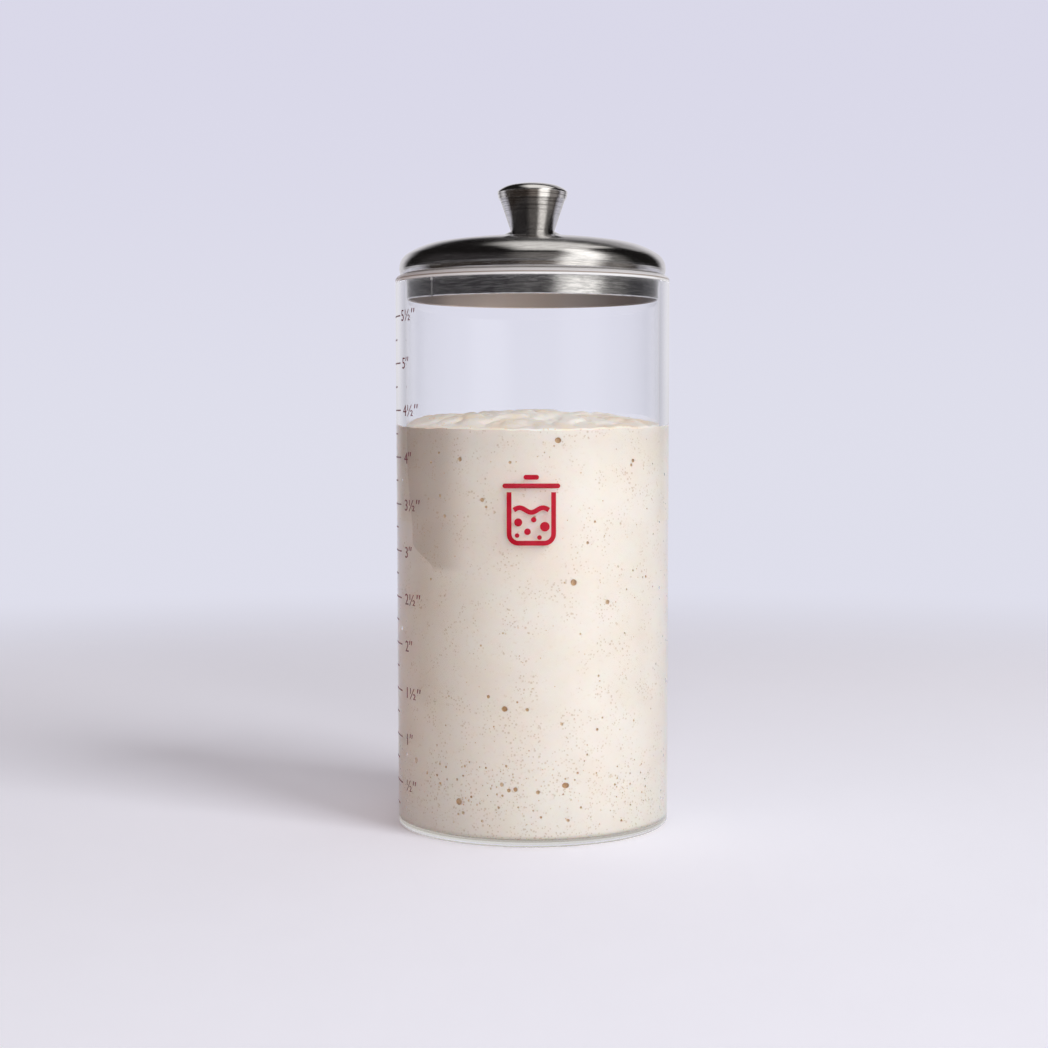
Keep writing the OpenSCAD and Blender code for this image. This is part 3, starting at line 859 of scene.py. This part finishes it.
# a plain picture of a jar on the front: its outline, its lid, a wavy level and bubbles under the level
frontMark = {
    "middle": 0.0885,
    "leftDeg": 0.6,
    "width": 0.0128,
    "height": 0.0138,
    "line": 0.00125,
    "corner": 0.0024,
    "lidWidth": 0.0150,
    "lidGap": 0.0010,
    "knobWidth": 0.0040,
    "levelHeight": 0.0092,  # from the outline's lower edge
    "waveRise": 0.0006,
    "clear": 0.0006,  # between the level's ends and the outline
    "bubbles": [(-0.0034, 0.0060, 0.00105), (0.0006, 0.0067, 0.00070), (0.0035, 0.0049, 0.00125),
                (-0.0010, 0.0036, 0.00085), (-0.0037, 0.0026, 0.00060), (0.0021, 0.0021, 0.00060)],
}


def circlePoints(x, z, radius, steps):
    return [(x + radius * math.cos(2 * math.pi * i / steps), z + radius * math.sin(2 * math.pi * i / steps))
            for i in range(steps)]


def disc(x, z, radius, steps=28):
    verts = [(x, z)] + circlePoints(x, z, radius, steps)
    return verts, [(0, 1 + i, 1 + (i + 1) % steps) for i in range(steps)]


# a level bar with round ends
def bar(x, z, width, line):
    end = width / 2 - line / 2
    points = arcPoints((x + end, z), line / 2, -90, 90, 10) + arcPoints((x - end, z), line / 2, 90, 270, 10)
    return [(x, z)] + points, [(0, 1 + i, 1 + (i + 1) % len(points)) for i in range(len(points))]


def frontMarkShapes():
    mark = frontMark
    side = mark["width"] / 2 - mark["line"] / 2
    low = mark["line"] / 2
    corner = mark["corner"]
    outline = [(-side, mark["height"])]
    outline += arcPoints((-side + corner, low + corner), corner, 180, 270, 10)
    outline += arcPoints((side - corner, low + corner), corner, 270, 360, 10)
    outline += [(side, mark["height"])]
    reach = side - mark["line"] / 2 - mark["clear"]
    level = []
    steps = 30
    for i in range(steps + 1):
        x = -reach + 2 * reach * i / steps
        level.append((x, mark["levelHeight"] + mark["waveRise"] * math.sin(3 * math.pi * i / steps)))
    lidHeight = mark["height"] + mark["lidGap"] + mark["line"] / 2
    shapes = [stripe(outline, mark["line"]), stripe(level, mark["line"])]
    shapes.append(bar(0, lidHeight, mark["lidWidth"], mark["line"]))
    shapes.append(bar(0, lidHeight + mark["line"] + mark["lidGap"], mark["knobWidth"], mark["line"]))
    shapes += [disc(*bubble) for bubble in mark["bubbles"]]
    return shapes


def makeFrontMark(material):
    allVerts = []
    allFaces = []
    for verts, faces in frontMarkShapes():
        start = len(allVerts)
        allVerts += verts
        allFaces += [tuple(v + start for v in face) for face in faces]
    rise = frontMark["middle"] - max(v[1] for v in allVerts) / 2
    piece = wrapFilm("front_mark", [(x, z + rise) for x, z in allVerts], allFaces, material, frontMark["leftDeg"])
    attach(piece, "jar")


def makeInk():
    scaleInk = inkMaterial("scaleInk", colour(0.15, 0.008, 0.016), colour(0.23, 0.012, 0.025))
    markInk = inkMaterial("markInk", colour(0.47, 0.0, 0.014), colour(0.56, 0.004, 0.03))
    for node in ("half_inch_marks", "quarter_inch_marks"):
        dress(node, scaleInk)
    makeNumerals(scaleInk)
    makeFrontMark(markInk)
    print("ink made")


def dress(node, material):
    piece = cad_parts[node]
    piece.data.materials.clear()
    piece.data.materials.append(material)


# Steel: spun and brushed round the axis, so that every line runs round and the light spreads across the lines

steelLooks = {
    "dome": {"tone": (0.70, 0.685, 0.67), "rough": 0.15, "vary": 0.05, "aniso": 0.5, "bump": 0.05, "grain": 0.2},
    "skirt": {"tone": (0.69, 0.675, 0.66), "rough": 0.15, "vary": 0.05, "aniso": 0.3, "bump": 0.06, "grain": 0.42},
    "knob": {"tone": (0.70, 0.685, 0.67), "rough": 0.15, "vary": 0.06, "aniso": 0.6, "bump": 0.10, "grain": 0.20},
    "cap": {"tone": (0.83, 0.81, 0.79), "rough": 0.11, "vary": 0.03, "aniso": 0.3, "bump": 0.04, "grain": 0.08},
    "fixing": {"tone": (0.72, 0.72, 0.70), "rough": 0.20, "vary": 0.1, "aniso": 0.3, "bump": 0.06, "grain": 0.1},
}
# Inside of the skirt, which is duller, painted warm as a reflection of the starter below and painted darker as shade
# towards the right and the far left, and the weld line down its outside
skirtBack = {
    "radius": 0.0342,
    "tone": colour(0.80, 0.69, 0.60),
    "shade": colour(0.26, 0.215, 0.19),
    "rough": 0.42,
    "seamLeft": 48,
    "seamHalfWidth": 0.0075,  # in radians
    "spotHeight": 0.1489,
}


# bands across the brushed lines, coarse enough to see, over a fine sheen of lines
def turnedSteel(name):
    look = steelLooks[name]
    material, tree = newMaterial(name + "Steel")
    lines = noiseValue(tree, turnedPoint(tree, 9000, 6.0, 9000), 1.0, 4, 0.6)
    grain = noiseValue(tree, turnedPoint(tree, 3400, 11.0, 3400), 1.0, 3, 0.6)
    stain = noiseValue(tree, objectPoint(tree), 60, 5, 0.6)
    tone = look["tone"]
    base = mixColour(tree, softStep(tree, lines, 0.3, 0.7), colour(*[c * 0.90 for c in tone]), colour(*tone))
    base = mixColour(tree, softStep(tree, grain, 0.62, 0.36, 0.0, look["grain"]), base, colour(0.05, 0.045, 0.045))
    base = mixColour(tree, softStep(tree, stain, 0.4, 0.75, 0, 0.3), base, colour(*[c * 0.88 for c in tone]))
    rough = calc(tree, "ADD", softStep(tree, lines, 0.3, 0.7, look["rough"] - look["vary"], look["rough"]),
                 softStep(tree, grain, 0.3, 0.7, 0, look["vary"]))
    if name == "skirt":
        base, rough = skirtDetails(tree, base, rough)
    if name in ("knob", "cap"):  # rings left by the lathe, deeper towards the top of the cone
        rings = noiseValue(tree, turnedPoint(tree, 0, 0.4, 2700), 1.0, 3, 0.6)
        z = addNode(tree, "ShaderNodeSeparateXYZ", None, Vector=objectPoint(tree)).outputs[2]
        deep = softStep(tree, z, 0.1660, 0.1705, 0.12, 0.55)
        deep = calc(tree, "MULTIPLY", deep, softStep(tree, z, 0.1741, 0.1735))
        base = mixColour(tree, calc(tree, "MULTIPLY", softStep(tree, rings, 0.52, 0.40), deep), base,
                         colour(0.10, 0.09, 0.085))
    height = calc(tree, "ADD", lines, grain)
    bump = addNode(tree, "ShaderNodeBump", None, Height=height, Strength=look["bump"], Distance=0.00006)
    around = addNode(tree, "ShaderNodeTangent", {"direction_type": "RADIAL", "axis": "Z"})
    shader = addNode(tree, "ShaderNodeBsdfPrincipled", None, Roughness=rough, Normal=bump.outputs[0])
    feed(tree, shader.inputs["Base Color"], base)
    feed(tree, shader.inputs["Tangent"], around.outputs[0])
    shader.inputs["Metallic"].default_value = 1.0
    shader.inputs["Anisotropic"].default_value = look["aniso"]
    shader.inputs["Anisotropic Rotation"].default_value = 0.25  # lines run round, so the shine spreads up and down
    finishMaterial(tree, shader.outputs[0])
    return material


def skirtDetails(tree, base, rough):
    x, y, z = addNode(tree, "ShaderNodeSeparateXYZ", None, Vector=objectPoint(tree)).outputs
    radius = calc(tree, "SQRT", calc(tree, "ADD", calc(tree, "MULTIPLY", x, x), calc(tree, "MULTIPLY", y, y)))
    inside = softStep(tree, radius, skirtBack["radius"] + 0.0001, skirtBack["radius"])
    # painted reflection and shade: the inside is painted warm, darker towards the right and, less so, at the far
    # left
    inner = mixColour(tree, softStep(tree, x, -0.012, 0.034), skirtBack["tone"], skirtBack["shade"])
    inner = mixColour(tree, softStep(tree, x, -0.022, -0.031, 0.0, 0.7), inner, skirtBack["shade"])
    base = mixColour(tree, inside, base, inner)
    rough = calc(tree, "MAXIMUM", rough, calc(tree, "MULTIPLY", inside, skirtBack["rough"]))
    left = calc(tree, "ARCTAN2", calc(tree, "MULTIPLY", x, -1), calc(tree, "MULTIPLY", y, -1))
    aside = calc(tree, "ABSOLUTE", calc(tree, "SUBTRACT", left, math.radians(skirtBack["seamLeft"])))
    seam = softStep(tree, aside, skirtBack["seamHalfWidth"] * 1.5, skirtBack["seamHalfWidth"] * 0.6)
    above = calc(tree, "ABSOLUTE", calc(tree, "SUBTRACT", z, skirtBack["spotHeight"]))
    spot = calc(tree, "MULTIPLY", softStep(tree, above, 0.0007, 0.0003), softStep(tree, aside, 0.018, 0.008))
    mark = calc(tree, "MAXIMUM", calc(tree, "MULTIPLY", seam, 0.5), spot)
    base = mixColour(tree, mark, base, colour(0.93, 0.91, 0.90))
    rough = calc(tree, "MAXIMUM", rough, calc(tree, "MULTIPLY", mark, 0.55))
    return base, rough


def dressLid():
    finishes = {
        "lid_dome": "dome", "lid_skirt": "skirt", "knob_seat": "knob", "knob_cone": "knob", "knob_cap": "cap",
        "knob_insert": "fixing", "knob_screw": "fixing", "screw_washer": "fixing",
    }
    made = {name: turnedSteel(name) for name in steelLooks}
    for node, name in finishes.items():
        dress(node, made[name])
    print("lid dressed")


addCamera()
addStudio()
makeJar()
makeStarter()
makeInk()
dressLid()
